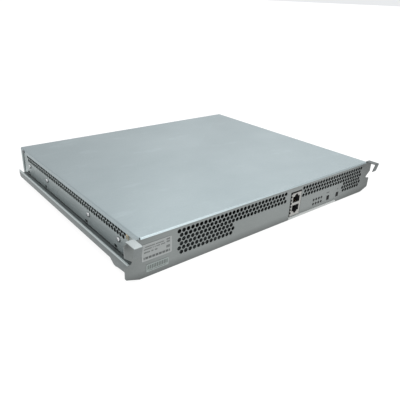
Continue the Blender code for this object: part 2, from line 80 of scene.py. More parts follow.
def turned_to(azimuth, elevation, roll=0.0):
    """Turn of a camera or light that looks at the origin from that side and height."""
    return (Matrix.Rotation(math.radians(azimuth), 4, "Z")
            @ Matrix.Rotation(math.radians(90 - elevation), 4, "X")
            @ Matrix.Rotation(math.radians(roll), 4, "Z"))


def soft_light(azimuth, elevation, distance, size, watts):
    """Square soft box that looks at the appliance."""
    turn = turned_to(azimuth, elevation)
    bpy.ops.object.light_add(type="AREA")
    lamp = bpy.context.object
    lamp.matrix_world = Matrix.Translation(turn @ Vector((0, 0, distance))) @ turn
    lamp.data.size = size
    lamp.data.energy = watts


soft_light(azimuth=-20, elevation=82, distance=1.6, size=1.8, watts=14)
soft_light(azimuth=130, elevation=47, distance=1.7, size=1.3, watts=4)
bpy.ops.object.camera_add()
camera = bpy.context.object
camera.data.sensor_width = 36
camera.data.lens = 39.8
camera.data.clip_start = 0.01
camera.matrix_world = (Matrix.Translation((-0.3501, -0.4335, 0.2377))
                       @ turned_to(azimuth=-39.75, elevation=24.89, roll=2.26))
bpy.context.scene.camera = camera

# The base pan: one bent sheet of plated steel that carries everything. Pieces are modelled in
# millimetres, with y counted from the front panel's outer face, and settled into the frame after.
MM = 0.001
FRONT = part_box("front_panel")[0].y


class Wire:
    """A socket in a material: arithmetic adds Math nodes, and node() adds any other node."""

    def __init__(self, tree, socket=None):
        self.tree = tree
        self.socket = socket

    def node(self, kind, settings, values, out=0):
        made = self.tree.nodes.new("ShaderNode" + kind)
        for name, value in settings.items():
            if name == "stops":
                for spare in made.color_ramp.elements[len(value):]:
                    made.color_ramp.elements.remove(spare)
                while len(made.color_ramp.elements) < len(value):
                    made.color_ramp.elements.new(1.0)
                for stop, (place, grey) in zip(made.color_ramp.elements, value):
                    stop.position = place
                    stop.color = (grey, grey, grey, 1)
            else:
                setattr(made, name, value)
        for key, value in values.items():
            if isinstance(value, Wire):
                self.tree.links.new(value.socket, made.inputs[key])
            else:
                made.inputs[key].default_value = value
        return Wire(self.tree, made.outputs[out])

    def math(self, operation, *values):
        return self.node("Math", {"operation": operation}, dict(enumerate(values)))

    def __add__(self, other):
        return self.math("ADD", self, other)

    __radd__ = __add__

    def __sub__(self, other):
        return self.math("SUBTRACT", self, other)

    def __rsub__(self, other):
        return self.math("SUBTRACT", other, self)

    def __mul__(self, other):
        return self.math("MULTIPLY", self, other)

    __rmul__ = __mul__

    def __lt__(self, other):
        return self.math("LESS_THAN", self, other)

    def __gt__(self, other):
        return self.math("GREATER_THAN", self, other)

    def __mod__(self, other):
        return self.math("FLOORED_MODULO", self, other)

    def near(self, middle, reach):
        """1 where the value is within reach of the middle, else 0."""
        return self.math("ABSOLUTE", self - middle) < reach

    def noise(self, where, scale, stretch=(1, 1, 1), detail=3, rough=0.55):
        """Cloudy value about 0.5 whose grain is about 1/scale millimetres, longer where stretch is small."""
        spread = self.node("Mapping", {}, {"Vector": where, "Scale": stretch})
        return self.node("TexNoise", {}, {"Vector": spread, "Scale": scale, "Detail": detail,
                                          "Roughness": rough})

    def mixed(self, factor, under, over):
        """One colour over another; a plain colour is given as three numbers."""
        colours = [c if isinstance(c, Wire) else (*c, 1) for c in (under, over)]
        return self.node("Mix", {"data_type": "RGBA"}, {0: factor, 6: colours[0], 7: colours[1]}, out=2)


def new_finish(name, metallic, roughness, colour):
    """A material, a wire to start from, its millimetre coordinates and its x, y and z."""
    made = bpy.data.materials.new(name)
    made.use_nodes = True
    start = Wire(made.node_tree)
    shader = made.node_tree.nodes["Principled BSDF"].inputs
    shader["Metallic"].default_value = metallic
    shader["Roughness"].default_value = roughness
    shader["Base Color"].default_value = (*colour, 1)
    place = start.node("TexCoord", {}, {}, out="Object")
    where = start.node("VectorMath", {"operation": "SCALE"}, {0: place, "Scale": 1 / MM})
    axes = [start.node("SeparateXYZ", {}, {0: where}, out=k) for k in range(3)]
    return made, start, where, axes


def feed(material, wires):
    """Join finished values to the shader; Height makes a bump that many millimetres deep."""
    tree = material.node_tree
    shader = tree.nodes["Principled BSDF"].inputs
    for name, wire in wires.items():
        if name == "Height":
            depth, height = wire
            wire = height.node("Bump", {}, {"Height": height, "Distance": depth * MM, "Strength": 1.0})
            name = "Normal"
        tree.links.new(wire.socket, shader[name])
    return material


def sheet_steel(name, dark, light, grain, metallic, roughness, shade=None):
    """Plated sheet: a fine grain along the rolling direction, slow clouds of tone, faint wear. The shade
    function takes the coordinates in millimetres and gives the painted shade and painted highlights
    that make the sheet darker or brighter in places."""
    made, start, where, (x, y, z) = new_finish(name, metallic, roughness, light)
    fine = start.noise(where, 1.6, grain, detail=4, rough=0.7)
    cloud = start.noise(where, 0.012, (1, 1.4, 1), detail=2)
    speck = start.noise(where, 0.55, detail=2)
    tone = 0.35 * fine + 0.45 * cloud + 0.2 * speck
    tone = start.node("MapRange", {}, {"Value": tone, "From Min": 0.36, "From Max": 0.62})
    scuff = start.noise(where, 0.09, (1, 0.5, 1), detail=5, rough=0.75)
    worn = start.node("MapRange", {}, {"Value": scuff, "From Min": 0.66, "From Max": 0.74})
    colour = start.mixed(worn * 0.45, start.mixed(tone, dark, light), [c * 1.3 for c in light])
    if shade:
        for amount, target in shade(start, x, y - FRONT / MM, z):
            colour = start.mixed(amount, colour, [c * target for c in light])
    return feed(made, {"Base Color": colour,
                       "Roughness": roughness + 0.1 * (fine - 0.5) + 0.06 * (cloud - 0.5) + 0.05 * worn,
                       "Height": (0.012, 0.7 * fine + 0.3 * speck)})


def between(start, value, begin, end, share=1.0):
    """Rises from 0 to the share as the value goes from begin to end."""
    return start.node("MapRange", {}, {"Value": value, "From Min": begin, "From Max": end, "To Max": share})


def lid_painted_light(start, x, y, z):
    """Painted light: painted shade darkens it towards the back left, random misty patches make it paler,
    and a painted highlight runs along the front fold, most of all on its left half.
    """
    away = y - 0.55 * x
    yield between(start, away, 60, 420, 0.34), 0.45
    mist = start.noise(start.node("CombineXYZ", {}, {0: x, 1: y}), 0.022, (0.6, 1.6, 1), detail=4, rough=0.65)
    yield between(start, mist, 0.58, 0.74, 0.20), 1.4
    yield between(start, y, -0.4, -1.2) * between(start, x, 110, -120, 0.9), 1.9


def panel_painted_shade(start, x, y, z):
    """Painted shade: darker at the ears and along the foot, and near black on the walls of the punched holes.
    """
    yield between(start, x, 110, 190, 0.50), 0.0
    yield between(start, x, -150, -190, 0.22), 0.0
    yield between(start, z, 9, 1.5, 0.36), 0.0
    yield between(start, y, 0.05, 0.3, 0.85) * (y < 1.12) * (start.math("ABSOLUTE", x) < 172) * (z < 41), 0.05


cover_steel = sheet_steel("cover_steel", (0.315, 0.375, 0.39), (0.375, 0.435, 0.45), (0.08, 1, 1), 0.7, 0.4,
                          lid_painted_light)
chassis_steel = sheet_steel("chassis_steel", (0.27, 0.31, 0.31), (0.33, 0.37, 0.37), (1, 0.08, 1), 0.38, 0.45)
panel_steel = sheet_steel("panel_steel", (0.225, 0.245, 0.24), (0.27, 0.29, 0.285), (0.08, 1, 1), 0.6, 0.45,
                          panel_painted_shade)


def span(node):
    """Lowest and highest corner of a CAD piece, in millimetres from the middle of the front panel's foot."""
    return [(corner - Vector((0, FRONT, 0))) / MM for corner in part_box(node)]


def select_only(piece):
    bpy.ops.object.select_all(action="DESELECT")
    piece.select_set(True)
    bpy.context.view_layer.objects.active = piece


def bake(piece):
    """Write a piece's place, turn and size into its mesh."""
    select_only(piece)
    bpy.ops.object.transform_apply(location=True, rotation=True, scale=True)


def settle(piece, name, body, slot, finish, *nodes, angle=35):
    """Bring a finished piece from millimetres into the frame, and say what it is and belongs to."""
    piece.name = name
    piece.scale = (MM, MM, MM)
    piece.location = (0, FRONT, 0)
    bake(piece)
    bpy.ops.object.shade_smooth_by_angle(angle=math.radians(angle))
    piece.data.materials.clear()
    piece.data.materials.append(finish)
    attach(piece, body)
    if nodes:
        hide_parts(*nodes)
    return piece


def merged_copy(node):
    """A CAD piece's shape as one clean mesh in millimetres, to work on further."""
    piece = bpy.data.objects.new(node + "_shape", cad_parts[node].data.copy())
    bpy.context.scene.collection.objects.link(piece)
    piece.location = (0, -FRONT / MM, 0)
    piece.scale = (1 / MM, 1 / MM, 1 / MM)
    bake(piece)
    if piece.data.has_custom_normals:
        bpy.ops.mesh.customdata_custom_splitnormals_clear()
    bpy.ops.object.mode_set(mode="EDIT")
    bpy.ops.mesh.select_all(action="SELECT")
    bpy.ops.mesh.remove_doubles(threshold=0.005)
    bpy.ops.mesh.dissolve_limited(angle_limit=math.radians(1))
    bpy.ops.object.mode_set(mode="OBJECT")
    return piece


def apply_modifier(piece, kind, **settings):
    select_only(piece)
    step = piece.modifiers.new(kind.title(), kind)
    for name, value in settings.items():
        setattr(step, name, value)
    bpy.ops.object.modifier_apply(modifier=step.name)


def soften(piece, width, segments=2, angle=30):
    """Round every edge sharper than the angle."""
    apply_modifier(piece, "BEVEL", width=width, segments=segments, limit_method="ANGLE",
                   angle_limit=math.radians(angle), miter_outer="MITER_ARC")


def softened(node, body, slot, finish, width, segments=2, suffix="_body"):
    """Stand a CAD piece's shape with rounded edges in for the CAD piece."""
    piece = merged_copy(node)
    soften(piece, width, segments)
    return settle(piece, node + suffix, body, slot, finish, node)


softened("base_pan", "case", "galvanised_sheet", chassis_steel, 0.35)

# The side walls: sheets punched with two staggered rows of round air holes, four slots that take the
# rails' tongues and the screw holes, and spot-welded to the pan. Punching leaves crisp edges.
SHEET = 1.0
PITCH = 5.352
ROW = PITCH * math.sqrt(3) / 2
HOLE, WALL_HOLE = 2.25, 2.4
GRILLE_TOP = 36.4
WALL_ROW_START, WALL_ROW_COUNT = 26.0, 48
TONGUE_SLOTS = (41.4, 105.0, 217.7, 276.9)
TURN_TO = {"X": (0, math.pi / 2, 0), "Y": (math.pi / 2, 0, 0), "Z": (0, 0, 0)}


def in_space(axis, u, v, along=0.0):
    """A point of a flat drawing: X drawings hold (y, z), Y drawings (x, z) and Z drawings (x, y)."""
    return Vector({"X": (along, u, v), "Y": (u, along, v), "Z": (u, v, along)}[axis])


def arc(u, v, radius, start, end, steps):
    """Points of a round stretch of an outline, from one angle to another in degrees."""
    angles = [math.radians(start + (end - start) * k / steps) for k in range(steps + 1)]
    return [(u + radius * math.cos(a), v + radius * math.sin(a)) for a in angles]


def oblong(u0, v0, u1, v1, radius, steps=3):
    """Outline of a rectangle with round corners."""
    return (arc(u1 - radius, v1 - radius, radius, 0, 90, steps)
            + arc(u0 + radius, v1 - radius, radius, 90, 180, steps)
            + arc(u0 + radius, v0 + radius, radius, 180, 270, steps)
            + arc(u1 - radius, v0 + radius, radius, 270, 360, steps))


def sketch(axis, points, along):
    """Draw a closed outline by extruding one vertex from point to point."""
    bpy.ops.object.select_all(action="DESELECT")
    bpy.ops.mesh.primitive_plane_add(size=1)
    drawn = bpy.context.object
    bpy.ops.object.mode_set(mode="EDIT")
    bpy.ops.mesh.select_mode(type="VERT")
    bpy.ops.mesh.select_all(action="SELECT")
    bpy.ops.mesh.merge(type="CENTER")
    bpy.ops.transform.translate(value=in_space(axis, *points[0], along))
    for here, there in zip(points, points[1:] + points[:1]):
        step = in_space(axis, there[0] - here[0], there[1] - here[1])
        bpy.ops.mesh.extrude_vertices_move(TRANSFORM_OT_translate={"value": step})
    bpy.ops.mesh.select_all(action="SELECT")
    bpy.ops.mesh.remove_doubles(threshold=0.01)
    bpy.ops.object.mode_set(mode="OBJECT")
    return drawn


def in_a_row(piece, count, x=0.0, y=0.0, z=0.0):
    """Repeat a piece at even steps."""
    apply_modifier(piece, "ARRAY", count=count, use_relative_offset=False, use_constant_offset=True,
                   constant_offset_displace=(x, y, z))
    return piece


def punched_row(axis, u, v, along, count, radius=HOLE, step=PITCH, sides=16):
    """A row of round hole outlines: one circle, repeated."""
    bpy.ops.mesh.primitive_circle_add(vertices=sides, radius=radius, rotation=TURN_TO[axis])
    row = bpy.context.object
    bpy.ops.object.transform_apply(location=False, rotation=True, scale=False)
    row.location = in_space(axis, u, v, along)
    bpy.ops.object.transform_apply(location=True, rotation=False, scale=False)
    return in_a_row(row, count, *in_space(axis, step, 0))


def joined(first, *others):
    bpy.ops.object.select_all(action="DESELECT")
    for piece in (first, *others):
        piece.select_set(True)
    bpy.context.view_layer.objects.active = first
    bpy.ops.object.join()
    return first


def blanked(axis, thickness, outline, *holes):
    """Fill an outline around its holes and give the sheet its thickness."""
    piece = joined(outline, *holes)
    bpy.ops.object.mode_set(mode="EDIT")
    bpy.ops.mesh.select_mode(type="VERT")
    bpy.ops.mesh.select_all(action="SELECT")
    bpy.ops.mesh.fill(use_beauty=True)
    bpy.ops.mesh.select_all(action="SELECT")
    bpy.ops.mesh.extrude_region_move(TRANSFORM_OT_translate={"value": in_space(axis, 0, 0, thickness)})
    bpy.ops.mesh.select_all(action="SELECT")
    bpy.ops.mesh.normals_make_consistent(inside=False)
    bpy.ops.object.mode_set(mode="OBJECT")
    return piece


SCREW_Y = [sum(c.y for c in span(f"side_screw_left_{k}")) / 2 for k in range(1, 5)]
SCREW_Z = sum(c.z for c in span("side_screw_left_1")) / 2
lid_screw = sum(span("cover_screw_left"), Vector()) / 2


def wall_painted_light(start, x, y, z):
    """Painted light: lighter towards the foot, painted shade inside the punched holes and a painted shadow
    ring round each screw.
    """
    reach = start.math("ABSOLUTE", x)
    yield between(start, z, 24, 13, 0.75), 1.9
    for screw_y in SCREW_Y:
        away = start.math("SQRT", (y - screw_y) * (y - screw_y) + (z - SCREW_Z) * (z - SCREW_Z))
        yield away.near(2.7, 0.55) * 0.6, 0.2
    yield between(start, reach, 175.6, 175.3, 0.9) * (reach > 174.78) * (z > 12) * (z < 40), 0.05


wall_steel = sheet_steel("wall_steel", (0.27, 0.31, 0.31), (0.33, 0.37, 0.37), (1, 0.08, 1), 0.38, 0.45,
                         wall_painted_light)
for side, word in ((-1, "left"), (1, "right")):
    low, high = span(f"{word}_side_wall")
    inner = side * min(abs(low.x), abs(high.x))
    sheet_edge = sketch("X", oblong(low.y, low.z, high.y, high.z, 0.8), inner)
    holes = [punched_row("X", WALL_ROW_START + k * PITCH / 2, GRILLE_TOP - k * ROW, inner, WALL_ROW_COUNT - k,
                         radius=WALL_HOLE) for k in (0, 1)]
    holes += [punched_row("X", y, SCREW_Z, inner, 1, radius=1.7) for y in SCREW_Y]
    holes.append(punched_row("X", lid_screw.y, lid_screw.z, inner, 1, radius=1.6))
    holes += [sketch("X", oblong(y, 12.4, y + 5.8, 15.8, 0.8), inner) for y in TONGUE_SLOTS]
    wall = blanked("X", side * SHEET, sheet_edge, *holes)
    settle(wall, f"{word}_wall_sheet", "case", "galvanised_sheet", wall_steel, f"{word}_side_wall")

# The rails: a web against each wall, a floor and an outer strip with a hemmed upper edge, folded from
# one sheet. A slide grips the channel, and the strip drops into a lug behind the ear.


def rail_painted_light(start, x, y, z):
    """Painted light: a painted highlight along the hem, and painted shade on the channel's floor and web,
    darkest in the corner where the floor meets the wall.
    """
    reach = start.math("ABSOLUTE", x)
    yield between(start, z, 14.6, 15.4, 0.9) * (reach > 184), 2.6
    yield (reach < 184.2) * (z > 11.5) * 0.35, 0.3
    yield between(start, reach, 178.2, 177.0, 0.7), 0.1


# The rails' sheet is a darker copy of the walls' steel: the darker tone is painted shade.
shaded_rail_steel = sheet_steel("shaded_rail_steel", (0.125, 0.142, 0.142), (0.165, 0.185, 0.185), (1, 0.08, 1), 0.45, 0.45,
                         rail_painted_light)
for word in ("left", "right"):
    rail = merged_copy(f"{word}_rail")
    soften(rail, 0.45, segments=4)
    settle(rail, f"{word}_rail_fold", "case", "galvanised_sheet", shaded_rail_steel, f"{word}_rail")

# The front panel: a sheet with an ear at each end, pierced by round air holes on a 60 degree stagger,
# the opening of the stacked sockets, the windows of eight lights and two button openings.
PANEL = 1.2
panel_low, panel_high = span("front_panel")
ear = panel_high.x
wall_x = span("right_side_wall")[1].x
GRILLE_LEFT = -132.1
grille_rows = ((0, 0, 28), (1, 0.5, 27.5), (2, 0, 28), (3, 0.5, 12.5), (4, 0, 13), (5, 0.5, 12.5),
               (0, 34, 56), (1, 34.5, 55.5), (2, 34, 56), (3, 49.5, 55.5), (4, 49, 56), (5, 49.5, 55.5))
ear_side = ([(176.5, panel_low.z), (188.3, 4.2)] + arc(ear - 2.6, 6.8, 2.6, -60, 0, 5)
            + arc(ear - 1, 17.2, 1, 0, 80, 4) + arc(185.6, 20.9, 2.1, 250, 110, 8)
            + arc(ear - 1.6, 28.8, 1.6, -50, 0, 4) + arc(ear - 2.6, 38.9, 2.6, 0, 90, 6)
            + [(wall_x, 41.5), (wall_x, panel_high.z)])
bracket = span("port_bracket")
panel_outline = ([(bracket[0].x - 0.4, panel_low.z), (bracket[0].x - 0.4, 4.0), (bracket[1].x + 0.4, 4.0),
                  (bracket[1].x + 0.4, panel_low.z)] + ear_side + [(-x, z) for x, z in reversed(ear_side)])
socket_low, socket_high = span("front_port_shield")
power_low, power_high = span("power_button")
reset_low, reset_high = span("reset_button")
LIGHT_X, LIGHT_STEP, LIGHT_ROWS = 72.0, 5.13, (14.9, 9.4)
holes = [punched_row("Y", GRILLE_LEFT + start * PITCH, GRILLE_TOP - number * ROW, 0, round(end - start) + 1)
         for number, start, end in grille_rows]
holes += [punched_row("Y", LIGHT_X, z, 0, 4, radius=1.85, step=LIGHT_STEP, sides=14) for z in LIGHT_ROWS]
holes += [sketch("Y", oblong(low.x - 0.4, low.z - 0.4, high.x + 0.4, high.z + 0.4, 0.4), 0)
          for low, high in ((power_low, power_high), (reset_low, reset_high))]
socket_hole = oblong(socket_low.x - 1.2, socket_low.z - 0.5, socket_high.x + 1.2, socket_high.z + 0.8, 0.5)
holes.append(sketch("Y", socket_hole, 0))
face = blanked("Y", PANEL, sketch("Y", panel_outline, 0), *holes)
settle(face, "front_sheet", "case", "panel_steel", panel_steel, "front_panel")

# The bezel hooks: bent strips welded behind the ears, reaching forward over them with a tab that
# leans back and holds the rim of a clip-on bezel.


def hook_painted_light(start, x, y, z):
    """Painted light: a painted highlight on the top flange of the left hook, and painted shade over the
    right hook.
    """
    yield between(start, z, 41.9, 42.6, 0.9) * (x < 0), 2.2
    yield (x > 0) * 0.35, 0.0


hook_steel = sheet_steel("hook_steel", (0.165, 0.18, 0.18), (0.21, 0.23, 0.23), (0.08, 1, 1), 0.5, 0.45,
                         hook_painted_light)
for word in ("left", "right"):
    hook = merged_copy(f"{word}_bezel_hook")
    soften(hook, 0.4, segments=3)
    settle(hook, f"{word}_hook_fold", "case", "panel_steel", hook_steel, f"{word}_bezel_hook")

# The lid: one sheet, notched at its corners and folded down along every side, with a shallow rounded
# lip at the front and slots, open below, that drop over the two lid screws.
lid_low, lid_high = span("top_cover")
LIP, NOTCH, FOLD = 1.8, 1.7, 1.35
right, front, rear, top = lid_high.x, lid_low.y, lid_high.y, lid_high.z
FLANGE = top - lid_low.z
corner = [(right - NOTCH, front), (right - NOTCH, front + NOTCH), (right, front + NOTCH),
          (right, rear - NOTCH), (right - NOTCH, rear - NOTCH), (right - NOTCH, rear)]
lid = sketch("Z", corner + [(-x, y) for x, y in reversed(corner)], top)


def select_where(piece, kind, test):
    """In edit mode, select the vertices, edges or faces whose corners all pass the test."""
    bpy.ops.mesh.select_mode(type=kind)
    bpy.ops.mesh.select_all(action="DESELECT")
    bpy.ops.object.mode_set(mode="OBJECT")
    mesh = piece.data
    for item in {"VERT": mesh.vertices, "EDGE": mesh.edges, "FACE": mesh.polygons}[kind]:
        corners = [item.index] if kind == "VERT" else item.vertices
        item.select = all(test(mesh.vertices[c].co) for c in corners)
    bpy.ops.object.mode_set(mode="EDIT")


select_only(lid)
bpy.ops.object.mode_set(mode="EDIT")
bpy.ops.mesh.select_all(action="SELECT")
bpy.ops.mesh.edge_face_add()
sides = ((lambda p: p.y < front + 0.1, LIP), (lambda p: p.y > rear - 0.1, FLANGE),
         (lambda p: p.x < 0.1 - right, FLANGE), (lambda p: p.x > right - 0.1, FLANGE))
for on_side, drop in sides:
    select_where(lid, "EDGE", lambda p: on_side(p) and p.z > top - 0.1)
    bpy.ops.mesh.extrude_region_move(TRANSFORM_OT_translate={"value": (0, 0, -drop)})
select_where(lid, "EDGE", lambda p: p.z > top - 0.1 and any(on_side(p) for on_side, _ in sides))
bpy.ops.mesh.bevel(offset=FOLD, segments=6, affect="EDGES")
bpy.ops.mesh.select_all(action="SELECT")
bpy.ops.mesh.normals_make_consistent(inside=False)
bpy.ops.object.mode_set(mode="OBJECT")
apply_modifier(lid, "SOLIDIFY", thickness=SHEET, offset=-1, use_even_offset=True)


def cut_by(piece, tool):
    """Cut the tool's shape away and discard the tool."""
    apply_modifier(piece, "BOOLEAN", operation="DIFFERENCE", solver="EXACT", object=tool)
    bpy.data.objects.remove(tool)


SLOT = 1.8
slot_outline = ([(lid_screw.y - SLOT, 30), (lid_screw.y + SLOT, 30)]
                + arc(lid_screw.y, lid_screw.z, SLOT, 0, 180, 10))
cut_by(lid, blanked("X", 2 * (right + 4), sketch("X", slot_outline, -right - 4)))
settle(lid, "lid_sheet", "cover", "galvanised_sheet", cover_steel, "top_cover")

# The screws: zinc-plated pan heads with a cross recess, four through each wall into the parts inside
# and one on each side that the lid's slots drop over.


def brushed_metal(name, dark, light, roughness, stretch, scale):
    """Bare or plated metal with fine tool marks."""
    made, start, where, _ = new_finish(name, 1.0, roughness, light)
    marks = start.noise(where, scale, stretch, detail=4, rough=0.7)
    patch = start.noise(where, 0.25, detail=3)
    return feed(made, {"Base Color": start.mixed(0.6 * marks + 0.4 * patch, dark, light),
                       "Roughness": roughness + 0.16 * (patch - 0.5) + 0.12 * (marks - 0.5),
                       "Height": (0.01, marks)})


dull_zinc = brushed_metal("dull_zinc", (0.10, 0.105, 0.11), (0.26, 0.27, 0.275), 0.4, (1, 1, 1), 2.2)
screw_zinc = brushed_metal("screw_zinc", (0.45, 0.46, 0.47), (0.80, 0.81, 0.82), 0.28, (1, 1, 1), 2.2)


def cross_head_screw(radius, rise, shank_radius, shank):
    """A screw along +X with the underside of its head at x 0."""
    bpy.ops.object.select_all(action="DESELECT")
    bpy.ops.mesh.primitive_cylinder_add(vertices=28, radius=radius, depth=rise, location=(rise / 2, 0, 0),
                                        rotation=(0, math.pi / 2, 0))
    made = bpy.context.object
    bake(made)
    bpy.ops.object.mode_set(mode="EDIT")
    select_where(made, "EDGE", lambda p: p.x > rise - 0.01)
    bpy.ops.mesh.bevel(offset=rise * 0.75, segments=4, affect="EDGES")
    select_where(made, "FACE", lambda p: p.x < 0.01)
    bpy.ops.mesh.inset(thickness=radius - shank_radius)
    bpy.ops.mesh.extrude_region_move(TRANSFORM_OT_translate={"value": (-shank, 0, 0)})
    bpy.ops.object.mode_set(mode="OBJECT")
    for turn in (0.5, 0.5 + math.pi / 2):
        bpy.ops.object.select_all(action="DESELECT")
        bpy.ops.mesh.primitive_cube_add(size=1, location=(rise, 0, 0), rotation=(turn, 0, 0),
                                        scale=(rise * 1.1, radius * 0.24, radius * 1.15))
        wing = bpy.context.object
        bake(wing)
        cut_by(made, wing)
    return made


def place_screw(pattern, place, direction, name, body, *nodes, finish=screw_zinc):
    """Drive a copy of a screw in at a place, its head looking along the direction."""
    copy = pattern.copy()
    copy.data = pattern.data.copy()
    bpy.context.scene.collection.objects.link(copy)
    copy.rotation_euler = Vector(direction).to_track_quat("X", "Z").to_euler()
    copy.location = place
    bake(copy)
    return settle(copy, name, body, "screw_zinc", finish, *nodes)


pan_head = cross_head_screw(2.5, 1.4, 1.3, 4.2)
lid_head = cross_head_screw(2.4, 1.0, 1.3, 5.0)
for side, word in ((-1, "left"), (1, "right")):
    for number, y in enumerate(SCREW_Y, 1):
        node = f"side_screw_{word}_{number}"
        head = side * (max(abs(c.x) for c in span(node)) - 1.4)
        place_screw(pan_head, (head, y, SCREW_Z), (side, 0, 0), f"wall_screw_{word}_{number}", "case", node)
    node = f"cover_screw_{word}"
    head = side * (max(abs(c.x) for c in span(node)) - 1.0)
    place_screw(lid_head, (head, lid_screw.y, lid_screw.z), (side, 0, 0), f"lid_screw_{word}", "case", node,
                finish=dull_zinc)
for pattern in (pan_head, lid_head):
    bpy.data.objects.remove(pattern)

# The earthing clips: narrow bands of spring brass with two legs, snapped into each wall behind the ear,
# that press on the lid's flange and bond it to the case.
spring_brass = brushed_metal("spring_brass", (0.30, 0.25, 0.15), (0.58, 0.50, 0.33), 0.35, (1, 1, 0.15), 1.5)
for word in ("left", "right"):
    clip = merged_copy(f"grounding_clip_{word}")
    low, high = span(f"grounding_clip_{word}")
    opening = oblong(low.y + 1.1, low.z - 1, high.y - 1.1, high.z - 1.2, 0.5)
    cut_by(clip, blanked("X", high.x - low.x + 2, sketch("X", opening, low.x - 1)))
    soften(clip, 0.12)
    settle(clip, f"grounding_clip_{word}_band", "case", "spring_brass", spring_brass,
           f"grounding_clip_{word}")

# The labels: silver polyester film with plain printed bars in place of any lettering, and a second
# one with a bar pattern. They are stuck on the front panel's left end.


def printed_film(name, film, ink, rows, box, margin):
    """Film with rows of marks (z, half height, start x, end x, step, filled share, share left out) and a
    paler margin round the printed field, which is given by its box (x, z, x, z)."""
    made, start, where, (x, _, z) = new_finish(name, 0.35, 0.42, film)
    print_mask = 0.0
    for number, (middle, half, begin, end, step, filled, missing) in enumerate(rows):
        cell = start.math("FLOOR", x * (1 / step)) + 17.3 * number
        present = start.node("TexWhiteNoise", {"noise_dimensions": "1D"}, {"W": cell}) > missing
        mark = (x % step) < step * filled
        print_mask = z.near(middle, half) * (x > begin) * (x < end) * mark * present + print_mask
    x0, z0, x1, z1 = box
    field = (x > x0 + margin) * (x < x1 - margin) * (z > z0 + margin) * (z < z1 - margin)
    mottle = start.noise(where, 0.5, detail=3)
    colour = start.mixed(0.5 * mottle, film, [c * 0.85 for c in film])
    colour = start.mixed(field * 0.25, colour, [c * 0.6 for c in film])
    return feed(made, {"Base Color": start.mixed(print_mask * 0.8, colour, ink),
                       "Roughness": 0.38 + 0.15 * mottle + 0.1 * print_mask})


rating_film = printed_film("rating_film", (0.37, 0.39, 0.385), (0.05, 0.055, 0.055), [
    (32.2, 0.6, -171.5, -150.0, 0.95, 0.72, 0.12), (29.8, 0.6, -171.5, -148.5, 1.0, 0.72, 0.12),
    (26.6, 0.75, -171.5, -165.0, 1.3, 0.75, 0.1), (26.6, 0.75, -163.5, -157.0, 1.3, 0.75, 0.1),
    (20.8, 1.2, -172.0, -143.2, 3.7, 0.82, 0.0), (33.0, 0.9, -147.0, -143.2, 1.1, 0.75, 0.1),
    (30.4, 0.9, -147.0, -143.2, 1.1, 0.75, 0.1), (25.4, 1.3, -147.2, -143.2, 1.2, 0.8, 0.0)],
    (-174.0, 17.8, -141.0, 35.2), 1.0)
barcode_film = printed_film("barcode_film", (0.33, 0.375, 0.36), (0.055, 0.065, 0.06), [
    (6.7, 0.35, -167.0, -148.0, 0.9, 0.7, 0.15), (10.0, 2.1, -168.4, -145.6, 1.9, 0.6, 0.1)],
    (-169.3, 5.4, -144.6, 13.2), 0.7)
for node, finish in (("rating_label", rating_film), ("barcode_label", barcode_film)):
    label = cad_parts[node]
    label.data.materials.clear()
    label.data.materials.append(finish)

# The stacked network sockets: a folded tinned shield with stamped spring fingers round a black
# moulding, and in each mouth eight gold-plated contact wires.
bright_tin = brushed_metal("bright_tin", (0.62, 0.61, 0.58), (0.90, 0.89, 0.86), 0.26, (1, 1, 0.2), 1.8)
contact_gold = brushed_metal("contact_gold", (0.50, 0.34, 0.10), (0.88, 0.66, 0.28), 0.25, (1, 1, 1), 3.0)


def moulding(name, colour, roughness, grain=0.9, gloss=0.5):
    """Moulded plastic: spark-eroded fine texture with slow changes of gloss."""
    made, start, where, _ = new_finish(name, 0.0, roughness, colour)
    made.node_tree.nodes["Principled BSDF"].inputs["Specular IOR Level"].default_value = gloss
    texture = start.noise(where, grain * 4, detail=3, rough=0.6)
    cloud = start.noise(where, 0.08, detail=2)
    worn = [c * 1.5 + 0.004 for c in colour]
    return feed(made, {"Base Color": start.mixed(0.5 * cloud + 0.3 * texture, colour, worn),
                       "Roughness": roughness + 0.2 * (cloud - 0.5) + 0.08 * texture,
                       "Height": (0.02, texture)})


black_moulding = moulding("black_moulding", (0.012, 0.012, 0.013), 0.45)
CONTACT_STEP = 1.02


def contact_comb(x, z, up, face, inward):
    """Eight slanting contact wires in one mouth."""
    bpy.ops.object.select_all(action="DESELECT")
    bpy.ops.mesh.primitive_cube_add(size=1, scale=(0.42, 0.3, 0.3))
    wire = bpy.context.object
    bake(wire)
    bpy.ops.object.mode_set(mode="EDIT")
    for dy, dz in ((2.0, 0.0), (4.5, 2.4), (3.5, 0.4)):
        select_where(wire, "FACE", lambda p: p.y > max(v.co.y for v in wire.data.vertices) - 0.05)
        bpy.ops.mesh.extrude_region_move(TRANSFORM_OT_translate={"value": (0, dy, dz)})
    bpy.ops.object.mode_set(mode="OBJECT")
    wire.scale = (1, inward, 1 if up else -1)
    wire.location = (x - 3.5 * CONTACT_STEP, face + inward * 2.6, z)
    bake(wire)
    bpy.ops.object.mode_set(mode="EDIT")
    bpy.ops.mesh.select_all(action="SELECT")
    bpy.ops.mesh.normals_make_consistent(inside=False)
    bpy.ops.object.mode_set(mode="OBJECT")
    return in_a_row(wire, 8, x=CONTACT_STEP)


def shield_painted_gap(start, where, x, z):
    """Painted shade: an uneven dark gap above the shield and dark notches down its left side."""
    ragged = start.noise(where, 0.8, detail=2)
    return (z > 33.2 + 1.6 * ragged), (x < 29.4 + 0.6 * ragged) * ((z % 4.1) < 2.3) * (z > 8)
